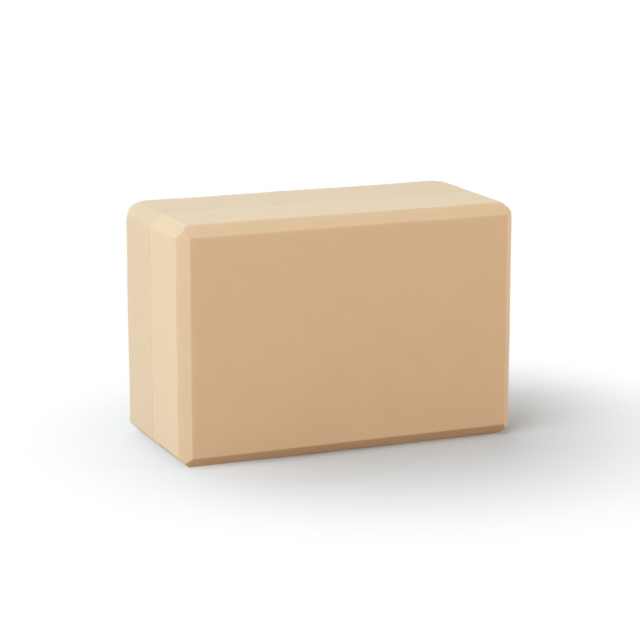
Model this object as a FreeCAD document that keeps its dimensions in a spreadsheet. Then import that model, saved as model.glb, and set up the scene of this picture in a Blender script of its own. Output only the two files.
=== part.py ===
import FreeCAD, Part
import os
import Sketcher

# Foam yoga block standing on its long narrow side, in millimetres.
# X runs along its length, Y through its depth with the front at -Y, and Z up from the floor it stands on.
# Two equal foam slabs are laminated back to back with a film of glue, and all twelve outside edges are bevelled.

# Name, value and meaning of each driving size.
SIZES = (
    ("block_length", 228.6, "whole block along X"),
    ("block_height", 152.4, "whole block along Z"),
    ("block_depth", 108.0, "whole block along Y, both slabs and the glue"),
    ("edge_bevel", 7.0, "leg of the 45 degree bevel along every outside edge"),
    ("arris_radius", 1.0, "rounding of the foam where two flats meet"),
    ("seam_radius", 0.2, "rounding of the foam along the glued joint"),
    ("glue_thickness", 0.2, "film between the two slabs"),
    ("glue_setback", 0.5, "how far the film stops short of the outside"),
)

# Sizes that follow from the driving ones, as each feature uses them.
SLAB_THICKNESS = "(Sizes.block_depth - Sizes.glue_thickness) / 2"
MID_HEIGHT = "Sizes.block_height / 2"
HALF_GLUE = "Sizes.glue_thickness / 2"
FILM_LENGTH = "Sizes.block_length - 2 * Sizes.glue_setback"
FILM_HEIGHT = "Sizes.block_height - 2 * Sizes.glue_setback"
# A smaller leg at the film's corners keeps its setback the same along the bevels as along the sides.
FILM_CORNER = "Sizes.edge_bevel - (2 - sqrt(2)) * Sizes.glue_setback"

REARWARD = FreeCAD.Vector(0, 1, 0)
UPWARD = FreeCAD.Vector(0, 0, 1)
# Angles: a half turn in degrees, and the most that two matching directions may differ, in radians.
HALF_TURN = 180
SAME_DIRECTION = 1e-6


def make_sheet(doc):
    """Spreadsheet with one named cell for each driving size."""
    sheet = doc.addObject("Spreadsheet::Sheet", "Sizes")
    for row, (name, value, meaning) in enumerate(SIZES, start=1):
        sheet.set(f"A{row}", name)
        sheet.set(f"B{row}", str(value))
        sheet.set(f"C{row}", meaning)
        sheet.setAlias(f"B{row}", name)
    doc.recompute()


def make_body(doc, label):
    """Empty body for one physical piece."""
    body = doc.addObject("PartDesign::Body", label)
    body.Label = label
    return body


def upright_plane(body):
    """The body's own XZ plane, whose normal points to the front."""
    return next(plane for plane in body.Origin.OriginFeatures if plane.Role == "XZ_Plane")


def face_names(shape, direction):
    """Names of the flat faces whose outward normal points along the direction."""
    names = []
    for number, face in enumerate(shape.Faces, start=1):
        flat = isinstance(face.Surface, Part.Plane)
        if flat and face.normalAt(0, 0).getAngle(direction) < SAME_DIRECTION:
            names.append(f"Face{number}")
    return names


def parallel_edge_names(shape, direction):
    """Names of the straight edges that run along the direction, either way."""
    names = []
    for number, edge in enumerate(shape.Edges, start=1):
        straight = isinstance(edge.Curve, Part.Line)
        if straight and edge.Curve.Direction.cross(direction).Length < SAME_DIRECTION:
            names.append(f"Edge{number}")
    return names


def edge_names_off_face(shape, face_name):
    """Names of all the edges that don't bound the named face."""
    bounding = shape.getElement(face_name).Edges
    names = []
    for number, edge in enumerate(shape.Edges, start=1):
        if not any(edge.isSame(other) for other in bounding):
            names.append(f"Edge{number}")
    return names


def add_rectangle(body, name, length, height, forward):
    """Upright rectangle centred at mid height, moved forward from the middle of the block."""
    sketch = body.newObject("Sketcher::SketchObject", name)
    sketch.AttachmentSupport = [(upright_plane(body), "")]
    sketch.MapMode = "FlatFace"
    sketch.setExpression(".AttachmentOffset.Base.y", MID_HEIGHT)
    sketch.setExpression(".AttachmentOffset.Base.z", forward)

    # Unit corners, which the two size constraints below bring to their real places.
    corners = [FreeCAD.Vector(x, y, 0) for x, y in ((-1, -1), (1, -1), (1, 1), (-1, 1))]
    sides = range(len(corners))
    for side in sides:
        following = (side + 1) % len(corners)
        sketch.addGeometry(Part.LineSegment(corners[side], corners[following]))
    for side in sides:
        following = (side + 1) % len(corners)
        sketch.addConstraint(Sketcher.Constraint("Coincident", side, 2, following, 1))
        direction = "Horizontal" if side % 2 == 0 else "Vertical"
        sketch.addConstraint(Sketcher.Constraint(direction, side))
    sketch.addConstraint(Sketcher.Constraint("Symmetric", 0, 1, 1, 2, -1, 1))

    unit_side = corners[1].x - corners[0].x
    across = sketch.addConstraint(Sketcher.Constraint("DistanceX", 0, 1, 0, 2, unit_side))
    upright = sketch.addConstraint(Sketcher.Constraint("DistanceY", 1, 1, 1, 2, unit_side))
    sketch.setExpression(f"Constraints[{across}]", length)
    sketch.setExpression(f"Constraints[{upright}]", height)
    return sketch


def add_pad(body, name, sketch, thickness):
    """Forward extrusion of a sketch."""
    pad = body.newObject("PartDesign::Pad", name)
    pad.Profile = sketch
    pad.setExpression("Length", thickness)
    body.Document.recompute()
    return pad


def add_chamfer(body, name, base, elements, leg):
    """Equal-legged bevel along edges, or along every edge of a face."""
    chamfer = body.newObject("PartDesign::Chamfer", name)
    chamfer.Base = (base, elements)
    chamfer.setExpression("Size", leg)
    body.Document.recompute()
    return chamfer


def add_fillet(body, name, base, elements, radius):
    """Rounding along edges, or along every edge of a face."""
    fillet = body.newObject("PartDesign::Fillet", name)
    fillet.Base = (base, elements)
    fillet.setExpression("Radius", radius)
    body.Document.recompute()
    return fillet


def make_slab(doc, label, turn):
    """Foam slab whose bevelled face looks to the front before it is turned about the upright axis."""
    body = make_body(doc, label)
    outline = add_rectangle(body, "outline", "Sizes.block_length", "Sizes.block_height", HALF_GLUE)
    sheet = add_pad(body, "sheet", outline, SLAB_THICKNESS)

    # The four bevels round the broad face run into each other in mitres at its square corners. The bevels along
    # the four edges through the depth come after, so they trim each mitre to the point where three bevels meet.
    broad_face = face_names(sheet.Shape, -REARWARD)
    face_bevel = add_chamfer(body, "face_bevel", sheet, broad_face, "Sizes.edge_bevel")
    depth_edges = parallel_edge_names(face_bevel.Shape, REARWARD)
    depth_bevel = add_chamfer(body, "depth_bevel", face_bevel, depth_edges, "Sizes.edge_bevel")

    # Every arris outside the joint is softened alike, and the foam rolls over a little along the joint.
    glued_face = face_names(depth_bevel.Shape, REARWARD)
    arrises = edge_names_off_face(depth_bevel.Shape, glued_face[0])
    soft_arris = add_fillet(body, "soft_arris", depth_bevel, arrises, "Sizes.arris_radius")
    glued_face = face_names(soft_arris.Shape, REARWARD)
    add_fillet(body, "seam_edge", soft_arris, glued_face, "Sizes.seam_radius")

    body.Placement = FreeCAD.Placement(FreeCAD.Vector(), FreeCAD.Rotation(UPWARD, turn))
    return body


def make_glue_film(doc):
    """Glue film that fills the joint up to its setback from the outside."""
    body = make_body(doc, "glue_film")
    outline = add_rectangle(body, "film_outline", FILM_LENGTH, FILM_HEIGHT, f"-{HALF_GLUE}")
    film = add_pad(body, "film", outline, "Sizes.glue_thickness")
    add_chamfer(body, "film_corner", film, parallel_edge_names(film.Shape, REARWARD), FILM_CORNER)
    return body


def check(doc, bodies):
    """Stop if anything failed to build, or if a bevel or rounding took nothing off its piece."""
    for item in doc.Objects:
        if "Invalid" in item.State or "Error" in item.State:
            raise RuntimeError(f"{item.Label} failed: {item.State}")
    for body in bodies:
        shape = body.Shape
        if shape.isNull() or not shape.isValid() or len(shape.Solids) != 1:
            raise RuntimeError(f"{body.Label} is not one sound solid")
        solids = [item for item in body.Group if item.isDerivedFrom("PartDesign::Feature")]
        for before, after in zip(solids, solids[1:]):
            if after.Shape.Volume >= before.Shape.Volume:
                raise RuntimeError(f"{after.Label} cut nothing off {body.Label}")


def main():
    doc = FreeCAD.newDocument("yoga_block")
    make_sheet(doc)
    bodies = [
        make_slab(doc, "front_slab", 0),
        make_slab(doc, "rear_slab", HALF_TURN),
        make_glue_film(doc),
    ]
    doc.recompute()
    check(doc, bodies)
    os.makedirs("parts", exist_ok=True)
    for body in bodies:
        body.Shape.exportStep(f"parts/{body.Label}.step")
        box = body.Shape.optimalBoundingBox()
        size = [round(side, 2) for side in (box.XLength, box.YLength, box.ZLength)]
        print(body.Label, "size", size, "volume", round(body.Shape.Volume))


main()
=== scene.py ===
import itertools
import math

import bmesh
import bpy
from bpy.props import FloatProperty, FloatVectorProperty, IntProperty, PointerProperty
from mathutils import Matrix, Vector, noise


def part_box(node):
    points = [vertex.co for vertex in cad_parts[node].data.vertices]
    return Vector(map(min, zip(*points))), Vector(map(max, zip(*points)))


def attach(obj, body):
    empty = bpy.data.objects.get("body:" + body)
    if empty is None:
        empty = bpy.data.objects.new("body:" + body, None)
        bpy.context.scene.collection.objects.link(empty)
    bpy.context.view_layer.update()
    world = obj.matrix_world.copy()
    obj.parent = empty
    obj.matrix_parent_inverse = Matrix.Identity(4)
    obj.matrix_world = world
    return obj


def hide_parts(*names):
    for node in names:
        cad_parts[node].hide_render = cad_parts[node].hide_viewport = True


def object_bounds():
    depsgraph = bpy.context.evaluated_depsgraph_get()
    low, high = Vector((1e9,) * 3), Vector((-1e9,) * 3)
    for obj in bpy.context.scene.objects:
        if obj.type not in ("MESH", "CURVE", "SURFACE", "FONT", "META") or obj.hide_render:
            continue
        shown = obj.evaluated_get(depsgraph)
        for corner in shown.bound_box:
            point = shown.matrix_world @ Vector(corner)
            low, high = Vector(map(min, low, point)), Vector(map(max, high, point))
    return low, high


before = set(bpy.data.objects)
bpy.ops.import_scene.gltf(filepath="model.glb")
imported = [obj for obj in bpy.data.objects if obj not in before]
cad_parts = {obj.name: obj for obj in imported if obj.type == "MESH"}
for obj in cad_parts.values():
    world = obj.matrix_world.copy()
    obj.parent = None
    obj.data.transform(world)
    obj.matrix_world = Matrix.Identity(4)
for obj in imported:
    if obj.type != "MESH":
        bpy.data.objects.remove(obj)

bl_info = {
    "name": "Foam Yoga Block",
    "version": (1, 0, 0),
    "blender": (4, 5, 0),
    "location": "3D View > Sidebar > Yoga Block",
    "description": "Dresses a bevelled foam yoga block and lights it in a white studio",
    "category": "Add Mesh",
}

# The block stands on its long narrow side, in metres.
# X runs along its length, Y from its front to its rear, and Z up.
CAD_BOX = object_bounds()
BODY = "root"
AXES = (Vector((1, 0, 0)), Vector((0, 1, 0)), Vector((0, 0, 1)))
FRONT = -AXES[1]
REAR = AXES[1]
# The two ends, the top and the base, which both slabs share with the outside of the block.
SIDES = (AXES[0], -AXES[0], AXES[2], -AXES[2])

# Segments across the rounding of an arris, of the joint's edge and of the glue's rim.
ARRIS_SEGMENTS = 4
SEAM_SEGMENTS = 3
RIM_SEGMENTS = 2
# Points closer to a cut than this count as lying on it.
CUT_TOLERANCE = 1e-6
# Angle by which two neighbouring flats turn.
FLAT_TURN = math.radians(45)

# Detail of the noises in the materials.
GRAIN_DETAIL = 3.0
MOTTLE_DETAIL = 4.0
CLOUD_DETAIL = 5.0
# Inner and outer end of a pore's soft edge, as shares of the pores' spacing.
PORE_EDGE = (0.03, 0.06)
# Darkest and lightest tone of the foam and of the glue, as factors of their colours.
FOAM_TONES = (0.93, 1.07)
GLUE_TONES = (0.8, 1.2)
# Share of the foam's tone that the grain makes up; the mottling makes up the rest.
GRAIN_SHARE = 0.5
# Painted shade in a pore, and the paler tone of a rubbed arris that is partly wear and partly a painted
# highlight, as factors of the foam's colour, and the most of each that shows.
PORE_SHADE_TONE = 0.6
PORE_SHADE_SHARE = 0.6
WEAR_HIGHLIGHT_TONE = 1.2
WEAR_HIGHLIGHT_SHARE = 0.25
# Least roughness of each material, and how much its noise adds.
FOAM_ROUGHNESS = 0.6
FOAM_ROUGHNESS_SPREAD = 0.2
GLUE_ROUGHNESS = 0.3
GLUE_ROUGHNESS_SPREAD = 0.3
WHITE = (1.0, 1.0, 1.0, 1.0)

# Each lamp's name, its angle round the block from straight in front, its angle above the floor, both in
# degrees, and its width.
LAMPS = (
    ("key", 180, 60, 2.1),
    ("fill", -70, 28, 2.8),
    ("side", 65, 12, 0.8),
    ("rim", 112, 3, 0.35),
    ("bounce", 15, 5, 0.6),
)
LAMP_DISTANCE = 2.2
# Half the floor's width, the squares along it, and the gap that keeps it clear of the block's base.
FLOOR_REACH = 6.0
FLOOR_SQUARES = 8
FLOOR_GAP = 0.0001


class SlabShape(bpy.types.PropertyGroup):
    """Sizes of a foam slab that its box in the frame doesn't give."""

    edge_bevel: FloatProperty(
        name="Edge Bevel",
        description="Leg of the 45 degree bevel along every outside edge",
        default=0.007,
        min=0.001,
        subtype="DISTANCE",
    )
    arris_radius: FloatProperty(
        name="Arris Radius",
        description="Rounding of the foam where two flats meet",
        default=0.001,
        min=0.0002,
        subtype="DISTANCE",
    )
    seam_radius: FloatProperty(
        name="Seam Radius",
        description="Rounding of the foam along the glued joint",
        default=0.0002,
        min=0.00005,
        subtype="DISTANCE",
    )
    point_spacing: FloatProperty(
        name="Point Spacing",
        description="Distance between the mesh points on the flats",
        default=0.0016,
        min=0.0005,
        subtype="DISTANCE",
    )
    bevel_rows: IntProperty(
        name="Bevel Rows",
        description="Rows of faces across each bevel",
        default=4,
        min=1,
    )
    wave_height: FloatProperty(
        name="Wave Height",
        description="Height of the slow waves that slicing leaves in the flats",
        default=0.0003,
        min=0.0,
        subtype="DISTANCE",
    )
    wave_length: FloatProperty(
        name="Wave Length",
        description="Distance over which the slow waves change",
        default=0.060,
        min=0.001,
        subtype="DISTANCE",
    )
    ripple_height: FloatProperty(
        name="Ripple Height",
        description="Height of the fine unevenness of the cut foam",
        default=0.00003,
        min=0.0,
        subtype="DISTANCE",
    )
    ripple_length: FloatProperty(
        name="Ripple Length",
        description="Distance over which the fine unevenness changes",
        default=0.007,
        min=0.001,
        subtype="DISTANCE",
    )
    rub_depth: FloatProperty(
        name="Rub Depth",
        description="How far handling has worn the arrises in places",
        default=0.00015,
        min=0.0,
        subtype="DISTANCE",
    )
    rub_length: FloatProperty(
        name="Rub Length",
        description="Distance along an arris over which its wear changes",
        default=0.025,
        min=0.001,
        subtype="DISTANCE",
    )
    rub_reach: FloatProperty(
        name="Rub Reach",
        description="How far from an arris the foam is rubbed",
        default=0.0025,
        min=0.0005,
        subtype="DISTANCE",
    )
    front_corner_rub: FloatProperty(
        name="Front Corner Rub",
        description="How far the front slab's upper corners are worn round",
        default=0.0002,
        min=0.0,
        subtype="DISTANCE",
    )
    rear_corner_rub: FloatProperty(
        name="Rear Corner Rub",
        description="How far the rear slab's upper corners are worn round",
        default=0.0008,
        min=0.0,
        subtype="DISTANCE",
    )
    corner_reach: FloatProperty(
        name="Corner Reach",
        description="How far from a corner the foam is worn round",
        default=0.004,
        min=0.0005,
        subtype="DISTANCE",
    )


class FoamFinish(bpy.types.PropertyGroup):
    """Colours and grain of the closed-cell foam."""

    front_colour: FloatVectorProperty(
        name="Front Colour",
        description="Colour of the front slab's foam",
        default=(0.655, 0.503, 0.334),
        min=0.0,
        max=1.0,
        subtype="COLOR",
    )
    # The rear slab is given a colour a little darker than the front slab's.
    rear_colour: FloatVectorProperty(
        name="Rear Colour",
        description="Colour of the rear slab's foam, cut from another sheet",
        default=(0.632, 0.485, 0.322),
        min=0.0,
        max=1.0,
        subtype="COLOR",
    )
    cell_size: FloatProperty(
        name="Cell Size",
        description="Width of the foam's cut cells",
        default=0.00045,
        min=0.00005,
        subtype="DISTANCE",
    )
    cell_depth: FloatProperty(
        name="Cell Depth",
        description="Depth of the cut cells",
        default=0.00002,
        min=0.0,
        subtype="DISTANCE",
    )
    pore_spacing: FloatProperty(
        name="Pore Spacing",
        description="Distance between the few larger open pores",
        default=0.005,
        min=0.0005,
        subtype="DISTANCE",
    )
    pore_depth: FloatProperty(
        name="Pore Depth",
        description="Depth of the larger open pores",
        default=0.00015,
        min=0.0,
        subtype="DISTANCE",
    )
    mottle_size: FloatProperty(
        name="Mottle Size",
        description="Width of the soft light and dark patches",
        default=0.018,
        min=0.001,
        subtype="DISTANCE",
    )
    grain_size: FloatProperty(
        name="Grain Size",
        description="Width of the fine light and dark grain",
        default=0.0012,
        min=0.0001,
        subtype="DISTANCE",
    )


class GlueFinish(bpy.types.PropertyGroup):
    """Colour and edge of the glue layer."""

    glue_colour: FloatVectorProperty(
        name="Glue Colour",
        description="Colour of the dried laminating glue",
        default=(0.40, 0.27, 0.16),
        min=0.0,
        max=1.0,
        subtype="COLOR",
    )
    rim_radius: FloatProperty(
        name="Rim Radius",
        description="Rounding of the glue's edge",
        default=0.00006,
        min=0.00001,
        subtype="DISTANCE",
    )
    point_spacing: FloatProperty(
        name="Point Spacing",
        description="Distance between the mesh points of the glue layer",
        default=0.003,
        min=0.0005,
        subtype="DISTANCE",
    )
    wander_depth: FloatProperty(
        name="Wander Depth",
        description="How far the glue's edge wanders inwards",
        default=0.0003,
        min=0.0,
        subtype="DISTANCE",
    )
    wander_length: FloatProperty(
        name="Wander Length",
        description="Distance over which the glue's edge wanders",
        default=0.009,
        min=0.001,
        subtype="DISTANCE",
    )


class StudioSetup(bpy.types.PropertyGroup):
    """Camera, lamps and floor of the white studio."""

    camera_turn: FloatProperty(
        name="Camera Turn",
        description="Camera's angle round the block, from straight in front towards the right end",
        default=math.radians(-22.81),
        subtype="ANGLE",
    )
    camera_rise: FloatProperty(
        name="Camera Rise",
        description="Camera's angle above the floor",
        default=math.radians(12.55),
        subtype="ANGLE",
    )
    camera_distance: FloatProperty(
        name="Camera Distance",
        description="Distance from the camera to the point that it looks at",
        default=1.552,
        min=0.1,
        subtype="DISTANCE",
    )
    camera_aim: FloatVectorProperty(
        name="Camera Aim",
        description="Point that the camera looks at",
        default=(0.0004, -0.0005, 0.0748),
        subtype="XYZ",
        unit="LENGTH",
    )
    camera_lens: FloatProperty(
        name="Camera Lens",
        description="Focal length on a 36 mm sensor",
        default=135.0,
        min=10.0,
        subtype="DISTANCE_CAMERA",
    )
    key_power: FloatProperty(
        name="Key Power",
        description="Power of the large soft lamp above and behind the block",
        default=23.5,
        min=0.0,
        subtype="POWER",
    )
    key_colour: FloatVectorProperty(
        name="Key Colour",
        description="Colour of the key lamp",
        default=(0.84, 0.96, 1.0),
        min=0.0,
        max=1.0,
        subtype="COLOR",
    )
    fill_power: FloatProperty(
        name="Fill Power",
        description="Power of the large soft lamp on the left",
        default=74.5,
        min=0.0,
        subtype="POWER",
    )
    fill_colour: FloatVectorProperty(
        name="Fill Colour",
        description="Colour of the fill lamp",
        default=(0.89, 0.955, 1.0),
        min=0.0,
        max=1.0,
        subtype="COLOR",
    )
    side_power: FloatProperty(
        name="Side Power",
        description="Power of the low lamp on the right",
        default=23.8,
        min=0.0,
        subtype="POWER",
    )
    side_colour: FloatVectorProperty(
        name="Side Colour",
        description="Colour of the side lamp",
        default=(1.0, 0.92, 0.81),
        min=0.0,
        max=1.0,
        subtype="COLOR",
    )
    rim_power: FloatProperty(
        name="Rim Power",
        description="Power of the low lamp behind the right end, which picks out the bevels there",
        default=16.0,
        min=0.0,
        subtype="POWER",
    )
    rim_colour: FloatVectorProperty(
        name="Rim Colour",
        description="Colour of the rim lamp",
        default=(0.92, 0.97, 1.0),
        min=0.0,
        max=1.0,
        subtype="COLOR",
    )
    bounce_power: FloatProperty(
        name="Bounce Power",
        description="Power of the low lamp in front, like light thrown back by a warm wall",
        default=11.3,
        min=0.0,
        subtype="POWER",
    )
    bounce_colour: FloatVectorProperty(
        name="Bounce Colour",
        description="Colour of the bounce lamp",
        default=(1.0, 0.55, 0.15),
        min=0.0,
        max=1.0,
        subtype="COLOR",
    )
    room_light: FloatProperty(
        name="Room Light",
        description="Strength of the light from the room all round",
        default=0.05,
        min=0.0,
    )
    room_colour: FloatVectorProperty(
        name="Room Colour",
        description="Colour of the light from the room all round",
        default=(1.0, 1.0, 1.0),
        min=0.0,
        max=1.0,
        subtype="COLOR",
    )
    floor_colour: FloatVectorProperty(
        name="Floor Colour",
        description="Colour of the pale floor where it is seen",
        default=(0.672, 0.688, 0.71),
        min=0.0,
        max=1.0,
        subtype="COLOR",
    )
    floor_throw: FloatVectorProperty(
        name="Floor Throw",
        description="Colour in which the shaded floor throws light back at the block",
        default=(0.19, 0.12, 0.08),
        min=0.0,
        max=1.0,
        subtype="COLOR",
    )
    far_throw: FloatVectorProperty(
        name="Far Throw",
        description="Colour in which the floor further away throws light back at the block",
        default=(0.5, 0.42, 0.33),
        min=0.0,
        max=1.0,
        subtype="COLOR",
    )
    shadow_middle: FloatVectorProperty(
        name="Shadow Middle",
        description="Point of the floor around which it keeps its shadow",
        default=(0.041, -0.022, 0.0),
        subtype="XYZ",
        unit="LENGTH",
    )
    shadow_reach: FloatVectorProperty(
        name="Shadow Reach",
        description="How far from the middle of the shadow the floor begins to turn white, and is white",
        default=(0.063, 0.25),
        size=2,
        min=0.0,
        unit="LENGTH",
    )


class YogaBlock(bpy.types.PropertyGroup):
    """Everything that can be changed about the block and its studio."""

    shape: PointerProperty(name="Shape", description="Sizes of the foam slabs", type=SlabShape)
    foam: PointerProperty(name="Foam", description="Colours and grain of the foam", type=FoamFinish)
    glue: PointerProperty(name="Glue", description="Colour and edge of the glue layer", type=GlueFinish)
    studio: PointerProperty(name="Studio", description="Camera, lamps and floor", type=StudioSetup)


# Shader nodes


def feed(tree, socket, value):
    """Links a socket to another one, or sets it to a plain value."""
    if isinstance(value, bpy.types.NodeSocket):
        tree.links.new(value, socket)
    else:
        socket.default_value = value


def add_node(tree, kind, inputs=None, **settings):
    """New shader node with its settings made and its inputs fed by name or number."""
    made = tree.nodes.new(kind)
    for name, value in settings.items():
        setattr(made, name, value)
    for name, value in (inputs or {}).items():
        feed(tree, made.inputs[name], value)
    return made


def maths(tree, operation, *values):
    """Output of a math node on sockets or plain numbers."""
    made = add_node(tree, "ShaderNodeMath", operation=operation)
    for socket, value in zip(made.inputs, values):
        feed(tree, socket, value)
    return made.outputs["Value"]


def mix_colours(tree, share, first, second):
    """Colour that goes from the first colour to the second as the share goes from 0 to 1."""
    made = add_node(tree, "ShaderNodeMix", data_type="RGBA")
    sockets = {socket.identifier: socket for socket in made.inputs}
    feed(tree, sockets["Factor_Float"], share)
    feed(tree, sockets["A_Color"], first)
    feed(tree, sockets["B_Color"], second)
    return next(socket for socket in made.outputs if socket.identifier == "Result_Color")


def mix_shaders(tree, share, first, second):
    """Shader that goes from the first shader to the second as the share goes from 0 to 1."""
    made = add_node(tree, "ShaderNodeMixShader")
    for socket, value in zip(made.inputs, (share, first, second)):
        feed(tree, socket, value)
    return made.outputs["Shader"]


def noise_share(tree, place, size, detail):
    """Soft noise from 0 to 1 whose patches have the given width."""
    inputs = {"Vector": place, "Scale": 1 / size, "Detail": detail}
    return add_node(tree, "ShaderNodeTexNoise", inputs).outputs["Fac"]


def spot_distance(tree, place, spacing):
    """Distance to the nearest of many scattered spots, as a share of their spacing."""
    inputs = {"Vector": place, "Scale": 1 / spacing}
    return add_node(tree, "ShaderNodeTexVoronoi", inputs, feature="F1").outputs["Distance"]


def smooth_step(tree, value, start, end, ends=(0.0, 1.0)):
    """Smooth change between two end values as a value goes from the start to the end."""
    limits = {"From Min": start, "From Max": end, "To Min": ends[0], "To Max": ends[1]}
    made = add_node(
        tree, "ShaderNodeMapRange", {"Value": value, **limits}, interpolation_type="SMOOTHSTEP"
    )
    return made.outputs["Result"]


def cover(tree, inputs):
    """Gives a material its one surface, with the inputs fed by name."""
    surface = add_node(tree, "ShaderNodeBsdfPrincipled", inputs)
    add_node(tree, "ShaderNodeOutputMaterial", {"Surface": surface.outputs["BSDF"]})


def new_material(name):
    """Empty node material and its tree."""
    material = bpy.data.materials.new(name)
    material.use_nodes = True
    material.node_tree.nodes.clear()
    return material, material.node_tree


def shade(colour, factor=1.0):
    """Opaque colour, lighter or darker than an RGB colour by a factor."""
    return (*(channel * factor for channel in colour), 1.0)


def seen_directly(tree):
    """1 for what is seen, by itself or in a reflection, and 0 for what only lights other things."""
    rays = add_node(tree, "ShaderNodeLightPath").outputs
    mirrored = maths(tree, "MAXIMUM", rays["Is Glossy Ray"], rays["Is Transmission Ray"])
    return maths(tree, "MAXIMUM", rays["Is Camera Ray"], mirrored)


# Mesh work that the slabs and the glue share


def box_point(low, high, *directions):
    """Point of a box furthest along the given axis directions, and midway along the others."""
    point = (low + high) / 2
    for direction in directions:
        for axis in range(3):
            if direction[axis]:
                point[axis] = high[axis] if direction[axis] > 0 else low[axis]
    return point


def bevel_planes(low, high, outside, leg):
    """(point, normal) of the bevel between each two neighbouring outside faces of a box."""
    planes = []
    for one, other in itertools.combinations(outside, 2):
        if one.dot(other) == 0:
            point = box_point(low, high, one, other) - one * leg
            planes.append((point, (one + other).normalized()))
    return planes


def whole(bm):
    """All of a mesh, as the cutting tools take it."""
    return bm.verts[:] + bm.edges[:] + bm.faces[:]


def cut_box(low, high, planes):
    """Box with the material outside each plane cut off."""
    bm = bmesh.new()
    bmesh.ops.create_cube(bm)
    for vert in bm.verts:
        vert.co = [low[axis] if vert.co[axis] < 0 else high[axis] for axis in range(3)]
    for point, normal in planes:
        bmesh.ops.bisect_plane(
            bm, geom=whole(bm), plane_co=point, plane_no=normal, clear_outer=True
        )
        bmesh.ops.holes_fill(bm, edges=[edge for edge in bm.edges if edge.is_boundary])
    return bm


def round_edges(bm, edges, setback, segments):
    """Rounds edges over a strip that starts the setback away on either side."""
    bmesh.ops.bevel(
        bm,
        geom=list(edges),
        offset=setback,
        segments=segments,
        profile=0.5,
        affect="EDGES",
        clamp_overlap=True,
    )


def divide(bm, direction, places):
    """Cuts a mesh across at each place along a direction, and takes nothing away."""
    for place in places:
        bmesh.ops.bisect_plane(
            bm, geom=whole(bm), dist=CUT_TOLERANCE, plane_co=direction * place, plane_no=direction
        )


def even_places(start, end, spacing):
    """Places between two ends, about the spacing apart and the ends left out."""
    steps = max(1, round((end - start) / spacing))
    return [start + (end - start) * step / steps for step in range(1, steps)]


def widest_face(bm, direction):
    """Largest face that looks along a direction."""
    return max(bm.faces, key=lambda face: face.normal.dot(direction) * face.calc_area())


def fade(value, start, end):
    """Smooth step from 0 at the start to 1 at the end."""
    share = min(1.0, max(0.0, (value - start) / (end - start)))
    return share * share * (3 - 2 * share)


def drift(point, length):
    """Soft noise around zero that changes over the given length."""
    return noise.noise(point / length)


def patches(point, length):
    """Soft noise from 0 to 1 that changes over the given length."""
    return fade(drift(point, length), -1, 1)


def finish_piece(name, bm, material, node):
    """Turns a mesh into a piece that stands for its node and moves with the block."""
    mesh = bpy.data.meshes.new(name)
    bm.to_mesh(mesh)
    bm.free()
    mesh.shade_smooth()
    mesh.materials.append(material)
    piece = bpy.data.objects.new(name, mesh)
    bpy.context.scene.collection.objects.link(piece)
    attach(piece, BODY)
    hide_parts(node)
    return piece


# Foam slabs


def cut_slab(low, high, outward, shape):
    """Foam slab cut from a plain sheet, and the (point, normal) of each of its outside flats.

    Its bevels are sliced off, its arrises and its joint softened, and its flats divided evenly.
    """
    outside = (*SIDES, outward)
    faces = [(box_point(low, high, face), face) for face in outside]
    bevels = bevel_planes(low, high, outside, shape.edge_bevel)
    bm = cut_box(low, high, bevels)

    arrises = set(bm.edges) - set(widest_face(bm, -outward).edges)
    # A rounding between two flats starts this share of its radius away from their arris.
    setback_share = math.tan(FLAT_TURN / 2)
    round_edges(bm, arrises, shape.arris_radius * setback_share, ARRIS_SEGMENTS)
    round_edges(bm, widest_face(bm, -outward).edges, shape.seam_radius, SEAM_SEGMENTS)

    row = shape.edge_bevel / shape.bevel_rows
    for axis, direction in enumerate(AXES):
        start, end = low[axis], high[axis]
        if -direction in outside:
            divide(bm, direction, even_places(start, start + shape.edge_bevel, row))
            start += shape.edge_bevel
        if direction in outside:
            divide(bm, direction, even_places(end - shape.edge_bevel, end, row))
            end -= shape.edge_bevel
        divide(bm, direction, even_places(start, end, shape.point_spacing))
    return bm, [*faces, *bevels]


def wear_slab(bm, flats, low, high, joint, corner_rub, shape):
    """Gives the foam the unevenness of its cut and its use, and notes how rubbed each point is, which
    the foam's material also shows as a painted highlight.
    """
    rubbed = bm.verts.layers.float.new("rubbed")
    bm.normal_update()
    moves = []
    for vert in bm.verts:
        # Two flats meet at an arris and three at a corner, so the second and the third nearest flat
        # tell how far away those are.
        depths = sorted((point - vert.co).dot(normal) for point, normal in flats)
        arris_distance, corner_distance = depths[1:3]
        near_arris = 1 - fade(arris_distance, 0, shape.rub_reach)
        near_corner = 1 - fade(corner_distance, 0, shape.corner_reach)
        # This rubbed share wears the arris down and also pales it with a painted highlight in the foam's
        # material.
        vert[rubbed] = near_arris * patches(vert.co, shape.rub_length)
        height = shape.wave_height * drift(vert.co, shape.wave_length)
        height += shape.ripple_height * drift(vert.co, shape.ripple_length)
        height -= shape.rub_depth * vert[rubbed]
        # The upper corners are the ones that hands and feet wear round.
        handled = fade(vert.co.z, low.z, high.z)
        height -= corner_rub * handled * near_corner
        # The foam stays true where it stands on the floor and where it is glued.
        height *= fade(vert.co.z - low.z, 0, shape.edge_bevel)
        height *= fade(abs(vert.co.y - joint), 0, shape.edge_bevel)
        moves.append(vert.normal * height)
    for vert, move in zip(bm.verts, moves):
        vert.co += move


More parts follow.
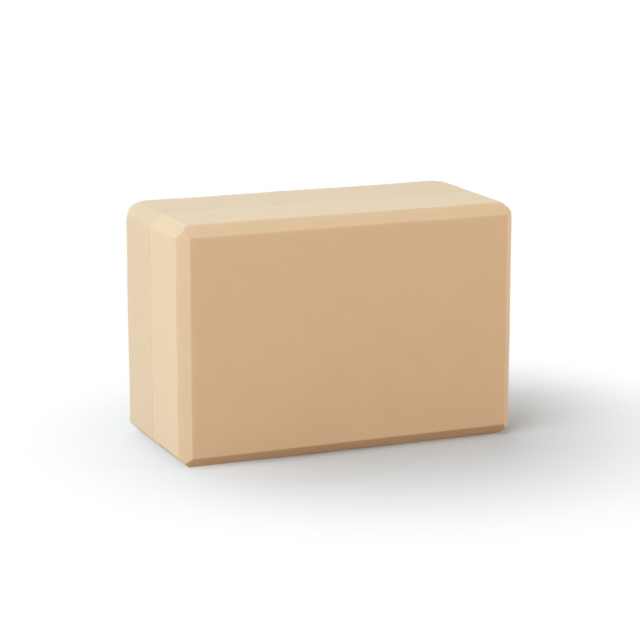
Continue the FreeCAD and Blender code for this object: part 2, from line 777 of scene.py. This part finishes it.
def foam_material(name, colour, foam):
    """Matte closed-cell foam with cut cells, grain and mottling, a few open pores darkened by painted
    shade, and arrises paled partly by wear and partly by a painted highlight.
    """
    material, tree = new_material(name)
    place = add_node(tree, "ShaderNodeTexCoord").outputs["Object"]
    grain = noise_share(tree, place, foam.grain_size, GRAIN_DETAIL)
    mottle = noise_share(tree, place, foam.mottle_size, MOTTLE_DETAIL)
    cells = spot_distance(tree, place, foam.cell_size)
    rubbed = add_node(tree, "ShaderNodeAttribute", attribute_name="rubbed").outputs["Fac"]
    pores = smooth_step(tree, spot_distance(tree, place, foam.pore_spacing), *PORE_EDGE, ends=(1.0, 0.0))

    # Grain and mottling shift the colour a little either way, pores darken it with painted shade, and
    # rubbed arrises pale it with wear and a painted highlight.
    dark, light = (shade(colour, tone) for tone in FOAM_TONES)
    mottle_part = maths(tree, "MULTIPLY", mottle, 1 - GRAIN_SHARE)
    toned = mix_colours(tree, maths(tree, "MULTIPLY_ADD", grain, GRAIN_SHARE, mottle_part), dark, light)
    # Pores take a darker colour, a painted shade inside the holes.
    pore_shade_share = maths(tree, "MULTIPLY", pores, PORE_SHADE_SHARE)
    pore_shaded = mix_colours(tree, pore_shade_share, toned, shade(colour, PORE_SHADE_TONE))
    # Rubbed arrises are paler, partly from wear and partly as a painted highlight.
    highlight_share = maths(tree, "MULTIPLY", rubbed, WEAR_HIGHLIGHT_SHARE)
    worn_and_highlit = mix_colours(tree, highlight_share, pore_shaded, shade(colour, WEAR_HIGHLIGHT_TONE))

    # Heights in metres: walls stand up between the cut cells, and pores are little holes.
    height = maths(tree, "MULTIPLY", cells, foam.cell_depth)
    height = maths(tree, "MULTIPLY_ADD", pores, -foam.pore_depth, height)
    bump = add_node(tree, "ShaderNodeBump", {"Height": height, "Distance": 1.0, "Strength": 1.0})

    cover(
        tree,
        {
            "Base Color": worn_and_highlit,
            "Roughness": maths(tree, "MULTIPLY_ADD", grain, FOAM_ROUGHNESS_SPREAD, FOAM_ROUGHNESS),
            "Normal": bump.outputs["Normal"],
            "Diffuse Roughness": 0.6,
            "Specular IOR Level": 0.5,
            "Sheen Weight": 0.13,
            "Sheen Roughness": 0.5,
        },
    )
    return material


class YOGABLOCK_OT_foam_slabs(bpy.types.Operator):
    """Add the front and the rear foam slab"""

    bl_idname = "yogablock.foam_slabs"
    bl_label = "Foam Slabs"

    def execute(self, context):
        settings = context.scene.yoga_block
        shape, foam = settings.shape, settings.foam
        slabs = (
            ("front_foam", "front_slab", FRONT, foam.front_colour, shape.front_corner_rub),
            ("rear_foam", "rear_slab", REAR, foam.rear_colour, shape.rear_corner_rub),
        )
        for name, node, outward, colour, corner_rub in slabs:
            low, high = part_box(node)
            joint = box_point(low, high, -outward).y
            bm, flats = cut_slab(low, high, outward, shape)
            wear_slab(bm, flats, low, high, joint, corner_rub, shape)
            piece = finish_piece(name, bm, foam_material(name, colour, foam), node)
        return {"FINISHED"}


# Glue layer


def glue_material(glue):
    """Dried glue, slightly shiny and cloudy."""
    material, tree = new_material("dried_glue")
    place = add_node(tree, "ShaderNodeTexCoord").outputs["Object"]
    cloud = noise_share(tree, place, glue.wander_length, CLOUD_DETAIL)
    dark, light = (shade(glue.glue_colour, tone) for tone in GLUE_TONES)
    cover(
        tree,
        {
            "Base Color": mix_colours(tree, cloud, dark, light),
            "Roughness": maths(tree, "MULTIPLY_ADD", cloud, GLUE_ROUGHNESS_SPREAD, GLUE_ROUGHNESS),
        },
    )
    return material


class YOGABLOCK_OT_glue_layer(bpy.types.Operator):
    """Add the layer of glue between the slabs"""

    bl_idname = "yogablock.glue_layer"
    bl_label = "Glue Layer"

    def execute(self, context):
        settings = context.scene.yoga_block
        glue = settings.glue
        low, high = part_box("glue_film")
        setback = low.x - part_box("front_slab")[0].x
        # A smaller leg at the corners keeps the setback the same along the bevels as along the sides.
        corner_leg = settings.shape.edge_bevel - (2 - math.sqrt(2)) * setback
        bm = cut_box(low, high, bevel_planes(low, high, SIDES, corner_leg))
        for outward in (FRONT, REAR):
            round_edges(bm, widest_face(bm, outward).edges, glue.rim_radius, RIM_SEGMENTS)
        for axis in (0, 2):
            divide(bm, AXES[axis], even_places(low[axis], high[axis], glue.point_spacing))

        bm.normal_update()
        for vert in bm.verts:
            # Only the rim wanders: on the two glued faces the normal has no sideways part.
            inward = Vector((-vert.normal.x, 0, -vert.normal.z))
            vert.co += inward * glue.wander_depth * patches(vert.co, glue.wander_length)
        finish_piece("glue_layer", bm, glue_material(glue), "glue_film")
        return {"FINISHED"}


# Studio


def bearing(turn, rise):
    """Unit vector away from the block, turned from straight in front and raised off the floor."""
    level = math.cos(rise)
    return Vector((math.sin(turn) * level, -math.cos(turn) * level, math.sin(rise)))


def place_facing(obj, place, target):
    """Puts a camera or lamp at a place, facing a target."""
    bpy.context.scene.collection.objects.link(obj)
    obj.location = place
    obj.rotation_euler = (Vector(target) - place).to_track_quat("-Z", "Y").to_euler()


def add_camera(studio):
    """Camera that looks at its aim from the set angles and distance."""
    camera = bpy.data.objects.new("camera", bpy.data.cameras.new("camera"))
    camera.data.lens = studio.camera_lens
    aim = Vector(studio.camera_aim)
    back = bearing(studio.camera_turn, studio.camera_rise)
    place_facing(camera, aim + back * studio.camera_distance, aim)
    bpy.context.scene.camera = camera


def add_lamp(name, turn, rise, width, power, colour):
    """Round soft lamp that faces the middle of the block."""
    lamp = bpy.data.objects.new(name, bpy.data.lights.new(name, "AREA"))
    lamp.data.shape = "DISK"
    lamp.data.size = width
    lamp.data.energy = power
    lamp.data.color = colour
    middle = (CAD_BOX[0] + CAD_BOX[1]) / 2
    away = bearing(math.radians(turn), math.radians(rise))
    place_facing(lamp, middle + away * LAMP_DISTANCE, middle)


def add_room_light(studio):
    """Even light from all round, with plain white wherever the room itself is seen."""
    world = bpy.data.worlds.new("room")
    world.use_nodes = True
    tree = world.node_tree
    tree.nodes.clear()
    room = {"Color": shade(studio.room_colour), "Strength": studio.room_light}
    lit = add_node(tree, "ShaderNodeBackground", room).outputs["Background"]
    shown = add_node(tree, "ShaderNodeBackground", {"Color": WHITE}).outputs["Background"]
    mixed = mix_shaders(tree, seen_directly(tree), lit, shown)
    add_node(tree, "ShaderNodeOutputWorld", {"Surface": mixed})
    bpy.context.scene.world = world


def floor_material(studio):
    """Pale floor that keeps the block's shadow and is plain white further away, where it is seen."""
    material, tree = new_material("pale_floor")
    place = add_node(tree, "ShaderNodeTexCoord").outputs["Object"]
    ends = {0: place, 1: studio.shadow_middle}
    distance = add_node(tree, "ShaderNodeVectorMath", ends, operation="DISTANCE").outputs["Value"]
    far = smooth_step(tree, distance, *studio.shadow_reach)
    seen = seen_directly(tree)
    thrown = mix_colours(tree, far, shade(studio.floor_throw), shade(studio.far_throw))
    colour = mix_colours(tree, seen, thrown, shade(studio.floor_colour))
    lit = add_node(tree, "ShaderNodeBsdfDiffuse", {"Color": colour}).outputs["BSDF"]
    shown = add_node(tree, "ShaderNodeEmission", {"Color": WHITE}).outputs["Emission"]
    mixed = mix_shaders(tree, maths(tree, "MULTIPLY", far, seen), lit, shown)
    add_node(tree, "ShaderNodeOutputMaterial", {"Surface": mixed})
    return material


def add_floor(studio):
    """Wide floor just under the block."""
    bm = bmesh.new()
    bmesh.ops.create_grid(
        bm, x_segments=FLOOR_SQUARES, y_segments=FLOOR_SQUARES, size=FLOOR_REACH
    )
    mesh = bpy.data.meshes.new("floor")
    bm.to_mesh(mesh)
    bm.free()
    mesh.materials.append(floor_material(studio))
    floor = bpy.data.objects.new("floor", mesh)
    floor.location.z = CAD_BOX[0].z - FLOOR_GAP
    bpy.context.scene.collection.objects.link(floor)


class YOGABLOCK_OT_studio(bpy.types.Operator):
    """Add the floor, the lamps, the room light and the camera"""

    bl_idname = "yogablock.studio"
    bl_label = "Studio"

    def execute(self, context):
        studio = context.scene.yoga_block.studio
        add_floor(studio)
        add_room_light(studio)
        for name, turn, rise, width in LAMPS:
            power = getattr(studio, f"{name}_power")
            colour = getattr(studio, f"{name}_colour")
            add_lamp(f"{name}_lamp", turn, rise, width, power, colour)
        add_camera(studio)
        context.scene.view_settings.view_transform = "Standard"
        return {"FINISHED"}


class YOGABLOCK_PT_sidebar(bpy.types.Panel):
    """Lists the pieces, the studio and their settings"""

    bl_idname = "YOGABLOCK_PT_sidebar"
    bl_label = "Yoga Block"
    bl_space_type = "VIEW_3D"
    bl_region_type = "UI"
    bl_category = "Yoga Block"

    def draw(self, context):
        settings = context.scene.yoga_block
        for operator, groups in (
            (YOGABLOCK_OT_foam_slabs, (settings.shape, settings.foam)),
            (YOGABLOCK_OT_glue_layer, (settings.glue,)),
            (YOGABLOCK_OT_studio, (settings.studio,)),
        ):
            box = self.layout.box()
            box.operator(operator.bl_idname)
            for group in groups:
                for name in group.__annotations__:
                    box.prop(group, name)


CLASSES = (
    SlabShape,
    FoamFinish,
    GlueFinish,
    StudioSetup,
    YogaBlock,
    YOGABLOCK_OT_foam_slabs,
    YOGABLOCK_OT_glue_layer,
    YOGABLOCK_OT_studio,
    YOGABLOCK_PT_sidebar,
)


def register():
    """Makes the classes and the block's settings known to Blender."""
    for cls in CLASSES:
        bpy.utils.register_class(cls)
    bpy.types.Scene.yoga_block = PointerProperty(type=YogaBlock)


def unregister():
    """Takes the settings and the classes away again."""
    del bpy.types.Scene.yoga_block
    for cls in reversed(CLASSES):
        bpy.utils.unregister_class(cls)


def main():
    """Builds the block and its studio."""
    register()
    bpy.ops.yogablock.foam_slabs()
    bpy.ops.yogablock.glue_layer()
    bpy.ops.yogablock.studio()


if __name__ == "__main__":
    main()
